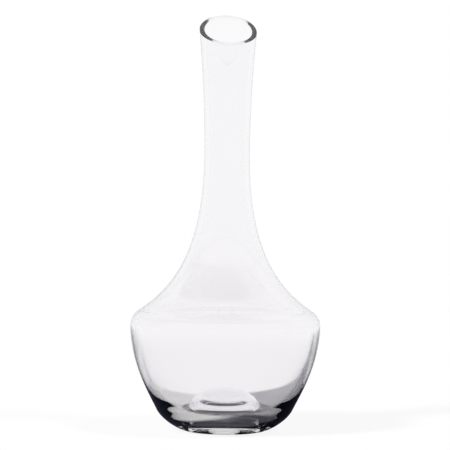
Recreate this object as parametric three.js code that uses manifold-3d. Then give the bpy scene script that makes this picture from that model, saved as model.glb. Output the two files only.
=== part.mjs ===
// A clear glass decanter, blown in one piece: a wide bowl under a rounded shoulder, a concave cone that
// draws in to a slim neck, a trumpet mouth cut on a slant, and a thick base with a punt.
// Millimetres, +Z up, the origin at the middle of the resting ring. The mouth's low side faces -Y.

import * as THREE from 'three';
import { mergeVertices } from 'three/addons/utils/BufferGeometryUtils.js';
import Module from 'manifold-3d';

const { degToRad } = THREE.MathUtils;

// Outside of the glass
const TOTAL_HEIGHT = 300;           // table to the tip of the mouth
const BODY_DIAMETER = 135.2;        // across the widest line
const WIDEST_HEIGHT = 74.2;         // table to the widest line
const SHOULDER_RADIUS = 12.6;       // the round between bowl and cone
const SHOULDER_SWEEP = degToRad(57.8);
const NECK_DIAMETER = 32.5;         // at the waist, where the neck is slimmest
const WAIST_HEIGHT = 196.5;
const MOUTH_DIAMETER = 44;          // at the tip
const MOUTH_FLARE = degToRad(4.3);  // the neck's lean at the tip
const MOUTH_SLANT = degToRad(34.2);
const FOOT_DIAMETER = 56;           // outer edge of the resting ring
const HEEL_OVERHANG = 20.6;         // how far the rounded heel stands out past the foot
const HEEL_HEIGHT = 15.1;
const HEEL_LEAN = degToRad(25.7);   // the bowl wall's lean where it leaves the heel
const HEEL_SPRING = degToRad(12.4); // the heel's rise where it leaves the table

// Thickness of the glass
const NECK_WALL = 3.5;
const SHOULDER_WALL = 3.6;
const FLOOR_THICKNESS = 10;         // under the gutter round the punt
const CROWN_THICKNESS = 13.4;       // between the punt's crown and the hollow under it

// The punt: a dome inside, ringed by a gutter, over a hollow in the underside
const PUNT_HEIGHT = 28.8;           // table to the dome's crown
const GUTTER_DIAMETER = 53.2;
const HOLLOW_MOUTH_DIAMETER = 44.8;
const HOLLOW_CEILING_DIAMETER = 18.4;

// How far each curve's tangents pull, as a share of the curve's own span
const HEEL_PULL = 0.29;
const BOWL_PULL = { heel: 0.17, widest: 0.45 };
const CONE_PULL = { shoulder: 0.31, waist: 0.54 };
const FLARE_PULL = { waist: 0.51, mouth: 0.05 };
const INSIDE_BOWL_PULL = { widest: 0.26, gutter: 0.54 };
const PUNT_PULL = { gutter: 0.02, crown: 1.03 };
const HOLLOW_PULL = { ceiling: 0.57, mouth: 0.98 };

// Fineness of the facets
const ROUND_STEPS = 64;            // a multiple of four puts corners on the X and Y axes
const STEPS = { hollow: 4, heel: 4, bowl: 6, shoulder: 6, cone: 9, flare: 6, punt: 6 };

// The neck is drawn this far past the tip, and the slanted cut takes it off
const CUT_ALLOWANCE = 2;

const at = (radius, height) => new THREE.Vector2(radius, height);

// The point a given distance from start, at an angle from the upright that leans away from the axis
function lean(start, angle, distance) {
  return at(start.x + distance * Math.sin(angle), start.y + distance * Math.cos(angle));
}

function bezier(...corners) {
  return new THREE.CubicBezierCurve(...corners);
}

// Shoulder, cone and neck of one skin of the glass, from the widest line up past the tip
function upperSkin(shoulderRadius, neckRadius, mouthRadius) {
  const centre = at(BODY_DIAMETER / 2 - SHOULDER_RADIUS, WIDEST_HEIGHT);
  const shoulder = new THREE.EllipseCurve(
    centre.x, centre.y, shoulderRadius, shoulderRadius, 0, SHOULDER_SWEEP);

  const coneFoot = shoulder.getPoint(1);
  const waist = at(neckRadius, WAIST_HEIGHT);
  const coneRise = waist.y - coneFoot.y;
  const cone = bezier(
    coneFoot,
    lean(coneFoot, -SHOULDER_SWEEP, coneRise * CONE_PULL.shoulder),
    lean(waist, 0, -coneRise * CONE_PULL.waist),
    waist);

  const tip = at(mouthRadius, TOTAL_HEIGHT);
  const flareRise = tip.y - waist.y;
  const flare = bezier(
    waist,
    lean(waist, 0, flareRise * FLARE_PULL.waist),
    lean(tip, MOUTH_FLARE, -flareRise * FLARE_PULL.mouth),
    tip);

  return [
    ...shoulder.getPoints(STEPS.shoulder),
    ...cone.getPoints(STEPS.cone),
    ...flare.getPoints(STEPS.flare),
    lean(tip, MOUTH_FLARE, CUT_ALLOWANCE),
  ];
}

// Hollow under the punt, from its ceiling on the axis out to the resting ring
function hollowSkin() {
  const ceilingHeight = PUNT_HEIGHT - CROWN_THICKNESS;
  const ceilingEdge = at(HOLLOW_CEILING_DIAMETER / 2, ceilingHeight);
  const mouth = at(HOLLOW_MOUTH_DIAMETER / 2, 0);
  const spread = mouth.x - ceilingEdge.x;
  const side = bezier(
    ceilingEdge,
    at(ceilingEdge.x + spread * HOLLOW_PULL.ceiling, ceilingHeight),
    at(mouth.x, ceilingHeight * HOLLOW_PULL.mouth),
    mouth);
  return [at(0, ceilingHeight), ...side.getPoints(STEPS.hollow)];
}

// Heel and outer bowl, from the edge of the resting ring up to the widest line
function lowerSkin() {
  const foot = at(FOOT_DIAMETER / 2, 0);
  const heelTop = at(foot.x + HEEL_OVERHANG, HEEL_HEIGHT);
  const heelPull = foot.distanceTo(heelTop) * HEEL_PULL;
  const heel = bezier(
    foot,
    lean(foot, Math.PI / 2 - HEEL_SPRING, heelPull),
    lean(heelTop, HEEL_LEAN, -heelPull),
    heelTop);

  const widest = at(BODY_DIAMETER / 2, WIDEST_HEIGHT);
  const rise = widest.y - heelTop.y;
  const bowl = bezier(
    heelTop,
    lean(heelTop, HEEL_LEAN, rise * BOWL_PULL.heel),
    lean(widest, 0, -rise * BOWL_PULL.widest),
    widest);
  return [...heel.getPoints(STEPS.heel), ...bowl.getPoints(STEPS.bowl)];
}

// Inner bowl, gutter and punt, from the widest line down and in to the crown on the axis
function floorSkin() {
  const widest = at(BODY_DIAMETER / 2 - SHOULDER_WALL, WIDEST_HEIGHT);
  const gutter = at(GUTTER_DIAMETER / 2, FLOOR_THICKNESS);
  const crown = at(0, PUNT_HEIGHT);
  const bowl = bezier(
    widest,
    lean(widest, 0, -(widest.y - gutter.y) * INSIDE_BOWL_PULL.widest),
    at(gutter.x + (widest.x - gutter.x) * INSIDE_BOWL_PULL.gutter, gutter.y),
    gutter);
  const dome = bezier(
    gutter,
    at(gutter.x * (1 - PUNT_PULL.gutter), gutter.y),
    at(gutter.x * PUNT_PULL.crown, crown.y),
    crown);
  return [...bowl.getPoints(STEPS.bowl), ...dome.getPoints(STEPS.punt)];
}

// One closed outline of the glass, from the hollow's ceiling round the outside, over the mouth and back
// down the inside. Neighbouring curves share their end points, so each repeat is dropped.
function glassOutline() {
  const outside = upperSkin(SHOULDER_RADIUS, NECK_DIAMETER / 2, MOUTH_DIAMETER / 2);
  const inside = upperSkin(
    SHOULDER_RADIUS - SHOULDER_WALL,
    NECK_DIAMETER / 2 - NECK_WALL,
    MOUTH_DIAMETER / 2 - NECK_WALL);
  const outline = [
    ...hollowSkin(),
    ...lowerSkin(),
    ...outside,
    ...inside.reverse(),
    ...floorSkin(),
  ];
  return outline.filter((point, i) => i === 0 || point.distanceTo(outline[i - 1]) > 1e-6);
}

const wasm = await Module();
wasm.setup();

// A closed geometry as a solid: shared corners merged, and the flat slivers on a lathe's axis left out
function toSolid(geometry) {
  const bare = geometry.clone();
  bare.deleteAttribute('normal');
  bare.deleteAttribute('uv');
  const merged = mergeVertices(bare);
  const corners = merged.index.array;
  const triVerts = [];
  for (let i = 0; i < corners.length; i += 3) {
    const [a, b, c] = corners.slice(i, i + 3);
    if (a !== b && b !== c && c !== a) triVerts.push(a, b, c);
  }
  return new wasm.Manifold(new wasm.Mesh({
    numProp: 3,
    vertProperties: new Float32Array(merged.attributes.position.array),
    triVerts: new Uint32Array(triVerts),
  }));
}

function toGeometry(solid) {
  const mesh = solid.getMesh();
  const geometry = new THREE.BufferGeometry();
  geometry.setAttribute('position', new THREE.BufferAttribute(mesh.vertProperties, 3));
  geometry.setIndex(new THREE.BufferAttribute(mesh.triVerts, 1));
  geometry.computeVertexNormals();
  return geometry;
}

// The uncut vessel, turned about +Z
const turned = new THREE.LatheGeometry(glassOutline(), ROUND_STEPS);
turned.rotateX(Math.PI / 2);

// Everything above the plane of the mouth: it rises from the low side to the tip, which stays at +Y
const cutDepth = MOUTH_DIAMETER;
const mouthCut = new THREE.BoxGeometry(2 * MOUTH_DIAMETER, 2 * MOUTH_DIAMETER, cutDepth);
mouthCut.translate(0, 0, cutDepth / 2);
mouthCut.rotateX(MOUTH_SLANT);
mouthCut.translate(0, 0, TOTAL_HEIGHT - (MOUTH_DIAMETER / 2) * Math.tan(MOUTH_SLANT));

const clearGlass = new THREE.MeshStandardMaterial({
  name: 'clear_glass',
  color: 0xe8ebee,
  roughness: 0.03,
  metalness: 0,
  transparent: true,
  opacity: 0.35,
});
const glassVessel = new THREE.Mesh(
  toGeometry(toSolid(turned).subtract(toSolid(mouthCut))),
  clearGlass);
glassVessel.name = 'glass_vessel';

const group = new THREE.Group();
group.name = 'decanter';
group.add(glassVessel);

export default group;
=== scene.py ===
"""Looks of a clear glass decanter: a fine mesh in place of the faceted solid, in a pale studio."""

import math

import bpy
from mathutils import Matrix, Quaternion, Vector


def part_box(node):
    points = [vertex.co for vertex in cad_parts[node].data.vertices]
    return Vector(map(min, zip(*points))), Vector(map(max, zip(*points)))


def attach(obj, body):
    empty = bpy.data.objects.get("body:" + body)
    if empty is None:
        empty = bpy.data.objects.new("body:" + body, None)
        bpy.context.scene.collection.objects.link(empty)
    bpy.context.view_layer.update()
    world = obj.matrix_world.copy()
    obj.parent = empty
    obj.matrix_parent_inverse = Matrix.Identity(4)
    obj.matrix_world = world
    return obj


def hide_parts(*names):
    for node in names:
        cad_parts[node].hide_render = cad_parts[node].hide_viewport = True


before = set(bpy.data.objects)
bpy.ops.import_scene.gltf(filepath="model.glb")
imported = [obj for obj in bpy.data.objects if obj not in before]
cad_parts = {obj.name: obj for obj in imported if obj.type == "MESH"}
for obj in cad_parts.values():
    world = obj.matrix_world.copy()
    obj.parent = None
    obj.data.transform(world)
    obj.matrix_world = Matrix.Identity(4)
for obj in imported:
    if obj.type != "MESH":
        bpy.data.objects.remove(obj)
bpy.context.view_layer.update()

NODE = "glass_vessel"
high_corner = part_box(NODE)[1]

# Outside of the glass, in metres
TOTAL_HEIGHT = high_corner.z
BODY_RADIUS = high_corner.x
WIDEST_HEIGHT = 0.0742
SHOULDER_RADIUS = 0.0126
SHOULDER_SWEEP = math.radians(57.8)
NECK_RADIUS = 0.01625
WAIST_HEIGHT = 0.1965
MOUTH_RADIUS = 0.022
MOUTH_FLARE = math.radians(4.3)
MOUTH_SLANT = math.radians(34.2)
RIM_ROUND = 0.0005
FOOT_RADIUS = 0.028
HEEL_OVERHANG = 0.0206
HEEL_HEIGHT = 0.0151
HEEL_LEAN = math.radians(25.7)
HEEL_SPRING = math.radians(12.4)

# Thickness of the glass
NECK_WALL = 0.0035
SHOULDER_WALL = 0.0036
FLOOR_THICKNESS = 0.010
CROWN_THICKNESS = 0.0134

# The punt: a dome inside, ringed by a gutter, over a hollow in the underside
PUNT_HEIGHT = 0.0288
GUTTER_RADIUS = 0.0266
HOLLOW_MOUTH_RADIUS = 0.0224
HOLLOW_CEILING_RADIUS = 0.0092

# How far each curve's tangents pull, as a share of the curve's own span
HEEL_PULL = 0.29
BOWL_PULL = {"heel": 0.17, "widest": 0.45}
CONE_PULL = {"shoulder": 0.31, "waist": 0.54}
FLARE_PULL = {"waist": 0.51, "mouth": 0.05}
INSIDE_BOWL_PULL = {"widest": 0.26, "gutter": 0.54}
PUNT_PULL = {"gutter": 0.02, "crown": 1.03}
HOLLOW_PULL = {"ceiling": 0.57, "mouth": 0.98}

# Where the mouth's slanted plane crosses the neck's curve is found by halving, from this far along it
CUT_REACH = 1.2
CUT_HALVINGS = 40

# Fineness of the mesh
ROUND_STEPS = 320
STEPS = {"ceiling": 4, "hollow": 20, "ring": 6, "heel": 18, "bowl": 40, "shoulder": 20, "cone": 48,
         "flare": 40, "rim": 4, "punt": 30}

# The camera of the photograph: 450 pixels a side, 36 mm across. The middle of the axis, at AIM_HEIGHT,
# lies at AIM_PIXEL.
IMAGE_SIDE = 450
SENSOR = 36.0
CAMERA_DISTANCE = 1.0
CAMERA_ELEVATION = math.radians(-1.5)
CAMERA_AZIMUTH = math.radians(-4.8)
CAMERA_ROLL = math.radians(0.607)
CAMERA_LENS = 111.9
AIM_HEIGHT = TOTAL_HEIGHT / 2
AIM_PIXEL = (226.4, 219.2)
CLIP_START = 0.01

# The studio. Levels are shares of white: the floor's colour times the sum of the ambient light and
# the two lamps comes out near white, like the world behind it. For the camera most of the floor glows
# white, so its shadow stays faint. Each lamp has a direction, as seen from the object, and a level.
FLOOR_SIDE = 16.0
FLOOR_DROP = 0.0002
FLOOR_COLOUR = (0.930, 0.934, 0.896, 1.0)
FLOOR_ROUGHNESS = 0.9
FLOOR_GLOW = 0.9
WHITE = (1.0, 1.0, 1.0, 1.0)
AMBIENT = (0.115, 0.105, 0.155, 1.0)
LAMPS = {"left": ((-1.0, -0.7, 1.0), 1.01), "right": ((0.55, -0.35, 1.0), 0.37)}
LAMP_WIDTH = math.radians(10)

# What the glass mirrors: a slightly dimmer world, and a floor with painted shade: for mirrored rays only
# its colour is painted dark near the base and grows pale again further out, a painted reflection in place
# of the dark cards that edge thick glass in a studio.
REFLECTED = (0.84, 0.83, 0.87, 1.0)
PAINTED_REFLECTION_SHADE = (0.06, 0.065, 0.1, 1.0)
PAINTED_SHADE_NEAR = 0.18
PAINTED_SHADE_FAR = 0.55

# Light paths: one that is mirrored more often ends dark, which deepens the edges of the heel
GLOSSY_BOUNCES = 4
MAX_BOUNCES = 24

# Diffuse Depth counts the matt surfaces that a ray has met: below this it has met none
MATT_MET = 0.5

# Clear glass: its own colour, the tint of thick glass, faint waves, and a softer cut face at the rim,
# which reaches RIM_BAND below the plane of the mouth
GLASS_COLOUR = (0.964, 0.957, 0.966, 1.0)
GLASS_IOR = 1.5
GLASS_TINT = (0.2, 0.19, 0.32, 1.0)
GLASS_DENSITY = 1.2
WAVE_SCALE = 28.0
WAVE_DEPTH = 0.00003
RIM_ROUGHNESS = 0.28
RIM_BAND = 0.0002


def lean(start, angle, distance):
    """The point a distance from start, at an angle from the upright that leans away from the axis."""
    return (start[0] + distance * math.sin(angle), start[1] + distance * math.cos(angle))


class Bezier:
    """A cubic curve in the half plane of radius and height."""

    def __init__(self, *corners):
        self.corners = corners

    def point(self, t):
        weights = ((1 - t) ** 3, 3 * t * (1 - t) ** 2, 3 * t ** 2 * (1 - t), t ** 3)
        return tuple(sum(w * c[i] for w, c in zip(weights, self.corners)) for i in (0, 1))

    def points(self, steps):
        return [self.point(i / steps) for i in range(steps + 1)]


def straight(start, end, steps):
    return [tuple(a + (b - a) * i / steps for a, b in zip(start, end)) for i in range(steps + 1)]


def hollow_skin():
    """From the ceiling of the hollow on the axis out and down to the resting ring."""
    height = PUNT_HEIGHT - CROWN_THICKNESS
    edge = (HOLLOW_CEILING_RADIUS, height)
    mouth = (HOLLOW_MOUTH_RADIUS, 0.0)
    spread = mouth[0] - edge[0]
    side = Bezier(edge, (edge[0] + spread * HOLLOW_PULL["ceiling"], height),
                  (mouth[0], height * HOLLOW_PULL["mouth"]), mouth)
    return straight((0.0, height), edge, STEPS["ceiling"]) + side.points(STEPS["hollow"])[1:]


def lower_skin():
    """Resting ring, heel and outer bowl, up to the widest line."""
    ring = straight((HOLLOW_MOUTH_RADIUS, 0.0), (FOOT_RADIUS, 0.0), STEPS["ring"])
    foot = (FOOT_RADIUS, 0.0)
    heel_top = (FOOT_RADIUS + HEEL_OVERHANG, HEEL_HEIGHT)
    heel_pull = math.dist(foot, heel_top) * HEEL_PULL
    heel = Bezier(foot, lean(foot, math.pi / 2 - HEEL_SPRING, heel_pull),
                  lean(heel_top, HEEL_LEAN, -heel_pull), heel_top)
    widest = (BODY_RADIUS, WIDEST_HEIGHT)
    rise = widest[1] - heel_top[1]
    bowl = Bezier(heel_top, lean(heel_top, HEEL_LEAN, rise * BOWL_PULL["heel"]),
                  lean(widest, 0, -rise * BOWL_PULL["widest"]), widest)
    return ring[1:] + heel.points(STEPS["heel"])[1:] + bowl.points(STEPS["bowl"])[1:]


def cone_skin(shoulder_radius, neck_radius):
    """Shoulder and cone of one skin of the glass, from the widest line up to the waist."""
    centre = (BODY_RADIUS - SHOULDER_RADIUS, WIDEST_HEIGHT)
    turns = [SHOULDER_SWEEP * i / STEPS["shoulder"] for i in range(STEPS["shoulder"] + 1)]
    shoulder = [(centre[0] + shoulder_radius * math.cos(a), centre[1] + shoulder_radius * math.sin(a))
                for a in turns]
    foot = shoulder[-1]
    waist = (neck_radius, WAIST_HEIGHT)
    rise = waist[1] - foot[1]
    cone = Bezier(foot, lean(foot, -SHOULDER_SWEEP, rise * CONE_PULL["shoulder"]),
                  lean(waist, 0, -rise * CONE_PULL["waist"]), waist)
    return shoulder + cone.points(STEPS["cone"])[1:]


def flare_curve(neck_radius, mouth_radius):
    """The neck of one skin, from the waist to the height of the tip."""
    waist = (neck_radius, WAIST_HEIGHT)
    tip = (mouth_radius, TOTAL_HEIGHT)
    rise = tip[1] - waist[1]
    return Bezier(waist, lean(waist, 0, rise * FLARE_PULL["waist"]),
                  lean(tip, MOUTH_FLARE, -rise * FLARE_PULL["mouth"]), tip)


def floor_skin():
    """Inner bowl, gutter and punt, from the widest line down and in to the crown on the axis."""
    widest = (BODY_RADIUS - SHOULDER_WALL, WIDEST_HEIGHT)
    gutter = (GUTTER_RADIUS, FLOOR_THICKNESS)
    crown = (0.0, PUNT_HEIGHT)
    bowl = Bezier(widest, lean(widest, 0, -(widest[1] - gutter[1]) * INSIDE_BOWL_PULL["widest"]),
                  (gutter[0] + (widest[0] - gutter[0]) * INSIDE_BOWL_PULL["gutter"], gutter[1]), gutter)
    dome = Bezier(gutter, (gutter[0] * (1 - PUNT_PULL["gutter"]), gutter[1]),
                  (gutter[0] * PUNT_PULL["crown"], crown[1]), crown)
    return bowl.points(STEPS["bowl"])[1:] + dome.points(STEPS["punt"])[1:]


def mouth_height(radius, turn):
    """Height of the slanted mouth plane at a radius, turn measured from +X: the tip is at +Y."""
    return TOTAL_HEIGHT - (MOUTH_RADIUS - radius * math.sin(turn)) * math.tan(MOUTH_SLANT)


def cut_share(flare, turn):
    """The share of a flare curve that lies below the mouth plane at a turn, found by halving."""
    below, above = 0.0, CUT_REACH
    for _ in range(CUT_HALVINGS):
        middle = (below + above) / 2
        radius, height = flare.point(middle)
        if height < mouth_height(radius, turn):
            below = middle
        else:
            above = middle
    return below


def toward(start, end, distance):
    span = math.dist(start, end)
    return tuple(a + (b - a) * distance / span for a, b in zip(start, end))


def rounded(before, corner, after, steps):
    """A small round in place of a corner, drawn as a quadratic curve."""
    shares = [i / steps for i in range(steps + 1)]
    return [tuple((1 - t) ** 2 * a + 2 * t * (1 - t) * b + t ** 2 * c
                  for a, b, c in zip(before, corner, after)) for t in shares]


def mouth_skin(turn):
    """Neck outside, slanted rim and neck inside, at one turn, as points of radius and height."""
    outer = flare_curve(NECK_RADIUS, MOUTH_RADIUS)
    inner = flare_curve(NECK_RADIUS - NECK_WALL, MOUTH_RADIUS - NECK_WALL)
    outer_cut = cut_share(outer, turn)
    inner_cut = cut_share(inner, turn)
    outside = [outer.point(outer_cut * i / STEPS["flare"]) for i in range(STEPS["flare"] + 1)]
    inside = [inner.point(inner_cut * i / STEPS["flare"]) for i in range(STEPS["flare"], -1, -1)]
    outer_edge, inner_edge = outside[-1], inside[0]
    outer_round = rounded(toward(outer_edge, outside[-2], RIM_ROUND), outer_edge,
                          toward(outer_edge, inner_edge, RIM_ROUND), STEPS["rim"])
    inner_round = rounded(toward(inner_edge, outer_edge, RIM_ROUND), inner_edge,
                          toward(inner_edge, inside[1], RIM_ROUND), STEPS["rim"])
    face = straight(outer_round[-1], inner_round[0], STEPS["rim"])
    return outside[:-1] + outer_round + face[1:-1] + inner_round + inside[1:]


def glass_outline(turn):
    """The closed outline of the glass at one turn, from the hollow's ceiling to the punt's crown."""
    outside = cone_skin(SHOULDER_RADIUS, NECK_RADIUS)
    inside = cone_skin(SHOULDER_RADIUS - SHOULDER_WALL, NECK_RADIUS - NECK_WALL)
    return (hollow_skin() + lower_skin() + outside[1:] + mouth_skin(turn)[1:-1]
            + inside[::-1] + floor_skin())


def revolved_mesh(name):
    """The outline carried round the axis. Its two ends on the axis become single corners."""
    turns = [2 * math.pi * i / ROUND_STEPS for i in range(ROUND_STEPS)]
    outlines = [glass_outline(turn) for turn in turns]
    rows = len(outlines[0])
    corners = [(0.0, 0.0, outlines[0][0][1])]
    for row in range(1, rows - 1):
        for turn, outline in zip(turns, outlines):
            radius, height = outline[row]
            corners.append((radius * math.cos(turn), radius * math.sin(turn), height))
    corners.append((0.0, 0.0, outlines[0][-1][1]))
    last = len(corners) - 1

    def corner(row, step):
        return 1 + (row - 1) * ROUND_STEPS + step % ROUND_STEPS

    faces = []
    for step in range(ROUND_STEPS):
        faces.append((0, corner(1, step + 1), corner(1, step)))
        for row in range(1, rows - 2):
            faces.append((corner(row, step), corner(row, step + 1),
                          corner(row + 1, step + 1), corner(row + 1, step)))
        faces.append((corner(rows - 2, step), corner(rows - 2, step + 1), last))
    mesh = bpy.data.meshes.new(name)
    mesh.from_pydata(corners, [], faces)
    mesh.validate()
    mesh.shade_smooth()
    return mesh


def join_math(nodes, links, operation, *values):
    """A Math node of the given operation, fed with sockets or plain numbers."""
    node = nodes.new("ShaderNodeMath")
    node.operation = operation
    for socket, value in zip(node.inputs, values):
        if isinstance(value, (int, float)):
            socket.default_value = value
        else:
            links.new(value, socket)
    return node.outputs["Value"]


def mirror_ray(nodes, links, path):
    """1 for a ray that was mirrored last, 0 for one that went through: both of them count as glossy."""
    glossy = path.outputs["Is Glossy Ray"]
    through = path.outputs["Is Transmission Ray"]
    return join_math(nodes, links, "SUBTRACT", glossy, through)


def mix_colour(nodes, links, factor, first, second):
    """The first colour where the factor is 0, the second where it is 1: sockets or plain colours."""
    node = nodes.new("ShaderNodeMix")
    node.data_type = "RGBA"
    links.new(factor, node.inputs["Factor"])
    for socket, value in ((node.inputs["A"], first), (node.inputs["B"], second)):
        if isinstance(value, bpy.types.NodeSocket):
            links.new(value, socket)
        else:
            socket.default_value = value
    return node.outputs["Result"]


def clear_glass():
    """Clear blown glass with faint waves, a little smoky where it is thick, and a softer rim face."""
    material = bpy.data.materials.new("clear_glass")
    material.use_nodes = True
    nodes, links = material.node_tree.nodes, material.node_tree.links
    shader = nodes["Principled BSDF"]
    shader.inputs["Base Color"].default_value = GLASS_COLOUR
    shader.inputs["Transmission Weight"].default_value = 1.0
    shader.inputs["IOR"].default_value = GLASS_IOR
    place = nodes.new("ShaderNodeTexCoord").outputs["Object"]

    waves = nodes.new("ShaderNodeTexNoise")
    waves.inputs["Scale"].default_value = WAVE_SCALE
    waves.inputs["Detail"].default_value = 0.0
    links.new(place, waves.inputs["Vector"])
    bump = nodes.new("ShaderNodeBump")
    bump.inputs["Distance"].default_value = WAVE_DEPTH
    links.new(waves.outputs["Fac"], bump.inputs["Height"])
    links.new(bump.outputs["Normal"], shader.inputs["Normal"])

    upward = Vector((0, -math.sin(MOUTH_SLANT), math.cos(MOUTH_SLANT)))
    tip = Vector((0, MOUTH_RADIUS, TOTAL_HEIGHT))
    along = nodes.new("ShaderNodeVectorMath")
    along.operation = "DOT_PRODUCT"
    along.inputs[1].default_value = upward
    links.new(place, along.inputs[0])
    rim_start = upward.dot(tip) - RIM_BAND
    on_rim = join_math(nodes, links, "GREATER_THAN", along.outputs["Value"], rim_start)
    roughness = join_math(nodes, links, "MULTIPLY", on_rim, RIM_ROUGHNESS)
    links.new(roughness, shader.inputs["Roughness"])

    absorption = nodes.new("ShaderNodeVolumeAbsorption")
    absorption.inputs["Color"].default_value = GLASS_TINT
    absorption.inputs["Density"].default_value = GLASS_DENSITY
    links.new(absorption.outputs["Volume"], nodes["Material Output"].inputs["Volume"])
    return material


def make_vessel():
    vessel = bpy.data.objects.new("decanter_glass", revolved_mesh("decanter_glass"))
    bpy.context.scene.collection.objects.link(vessel)
    vessel.data.materials.append(clear_glass())
    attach(vessel, "root")
    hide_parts(NODE)


def pale_floor():
    """Matt white that keeps the shadow. Seen straight from the camera it mostly glows, as background. For
    mirrored rays its colour is painted dark near the base, a painted reflection of shade.
    """
    material = bpy.data.materials.new("pale_floor")
    material.use_nodes = True
    nodes, links = material.node_tree.nodes, material.node_tree.links
    matt = nodes["Principled BSDF"]
    matt.inputs["Roughness"].default_value = FLOOR_ROUGHNESS
    matt.inputs["Specular IOR Level"].default_value = 0.0
    glow = nodes.new("ShaderNodeEmission")
    path = nodes.new("ShaderNodeLightPath")
    mirrored = mirror_ray(nodes, links, path)
    distance = nodes.new("ShaderNodeVectorMath")
    distance.operation = "LENGTH"
    links.new(nodes.new("ShaderNodeTexCoord").outputs["Object"], distance.inputs[0])
    painted_shade_nearness = nodes.new("ShaderNodeMapRange")
    painted_shade_nearness.inputs["From Min"].default_value = PAINTED_SHADE_FAR
    painted_shade_nearness.inputs["From Max"].default_value = PAINTED_SHADE_NEAR
    links.new(distance.outputs["Value"], painted_shade_nearness.inputs["Value"])
    # Painted reflection: near the base the floor's colour is painted dark for mirrored rays only, painted
    # shade that the glass shows at its heel
    painted_shade_share = join_math(nodes, links, "MULTIPLY", mirrored, painted_shade_nearness.outputs["Result"])
    links.new(mix_colour(nodes, links, painted_shade_share, FLOOR_COLOUR, PAINTED_REFLECTION_SHADE), matt.inputs["Base Color"])
    share = join_math(nodes, links, "MULTIPLY", path.outputs["Is Camera Ray"], FLOOR_GLOW)
    mix = nodes.new("ShaderNodeMixShader")
    links.new(share, mix.inputs["Fac"])
    links.new(matt.outputs["BSDF"], mix.inputs[1])
    links.new(glow.outputs["Emission"], mix.inputs[2])
    links.new(mix.outputs["Shader"], nodes["Material Output"].inputs["Surface"])
    return material


def make_floor():
    half = FLOOR_SIDE / 2
    mesh = bpy.data.meshes.new("floor")
    corners = [(-half, -half, 0), (half, -half, 0), (half, half, 0), (-half, half, 0)]
    mesh.from_pydata(corners, [], [(0, 1, 2, 3)])
    floor = bpy.data.objects.new("floor", mesh)
    floor.location.z = -FLOOR_DROP
    bpy.context.scene.collection.objects.link(floor)
    mesh.materials.append(pale_floor())


def make_world():
    """White for rays that met only glass, a little dimmer if mirrored, and dim light for matt surfaces."""
    world = bpy.data.worlds.new("studio")
    world.use_nodes = True
    nodes, links = world.node_tree.nodes, world.node_tree.links
    path = nodes.new("ShaderNodeLightPath")
    seen = mix_colour(nodes, links, mirror_ray(nodes, links, path), WHITE, REFLECTED)
    unmatted = join_math(nodes, links, "LESS_THAN", path.outputs["Diffuse Depth"], MATT_MET)
    links.new(mix_colour(nodes, links, unmatted, AMBIENT, seen), nodes["Background"].inputs["Color"])
    bpy.context.scene.world = world


def make_lamps():
    """Two soft lamps, for the matt floor only: the glass shows the white round it and no lamp."""
    for name, (place, level) in LAMPS.items():
        data = bpy.data.lights.new(name, "SUN")
        data.energy = level * math.pi
        data.angle = LAMP_WIDTH
        lamp = bpy.data.objects.new(name, data)
        lamp.rotation_mode = "QUATERNION"
        lamp.rotation_quaternion = (-Vector(place)).to_track_quat("-Z", "Y")
        lamp.visible_camera = False
        lamp.visible_glossy = False
        lamp.visible_transmission = False
        bpy.context.scene.collection.objects.link(lamp)


def make_camera():
    data = bpy.data.cameras.new("camera")
    data.sensor_width = SENSOR
    data.lens = CAMERA_LENS
    data.shift_x = (IMAGE_SIDE / 2 - AIM_PIXEL[0]) / IMAGE_SIDE
    data.shift_y = (AIM_PIXEL[1] - IMAGE_SIDE / 2) / IMAGE_SIDE
    data.clip_start = CLIP_START
    camera = bpy.data.objects.new("camera", data)
    bpy.context.scene.collection.objects.link(camera)
    back = Vector((math.sin(CAMERA_AZIMUTH) * math.cos(CAMERA_ELEVATION),
                   -math.cos(CAMERA_AZIMUTH) * math.cos(CAMERA_ELEVATION),
                   math.sin(CAMERA_ELEVATION)))
    camera.location = Vector((0, 0, AIM_HEIGHT)) + back * CAMERA_DISTANCE
    camera.rotation_mode = "QUATERNION"
    roll = Quaternion((0, 0, 1), CAMERA_ROLL)
    camera.rotation_quaternion = (-back).to_track_quat("-Z", "Y") @ roll
    bpy.context.scene.camera = camera


def set_render():
    scene = bpy.context.scene
    scene.view_settings.view_transform = "Standard"
    scene.cycles.max_bounces = MAX_BOUNCES
    scene.cycles.glossy_bounces = GLOSSY_BOUNCES
    scene.cycles.transmission_bounces = MAX_BOUNCES


make_camera()
make_vessel()
make_floor()
make_world()
make_lamps()
set_render()
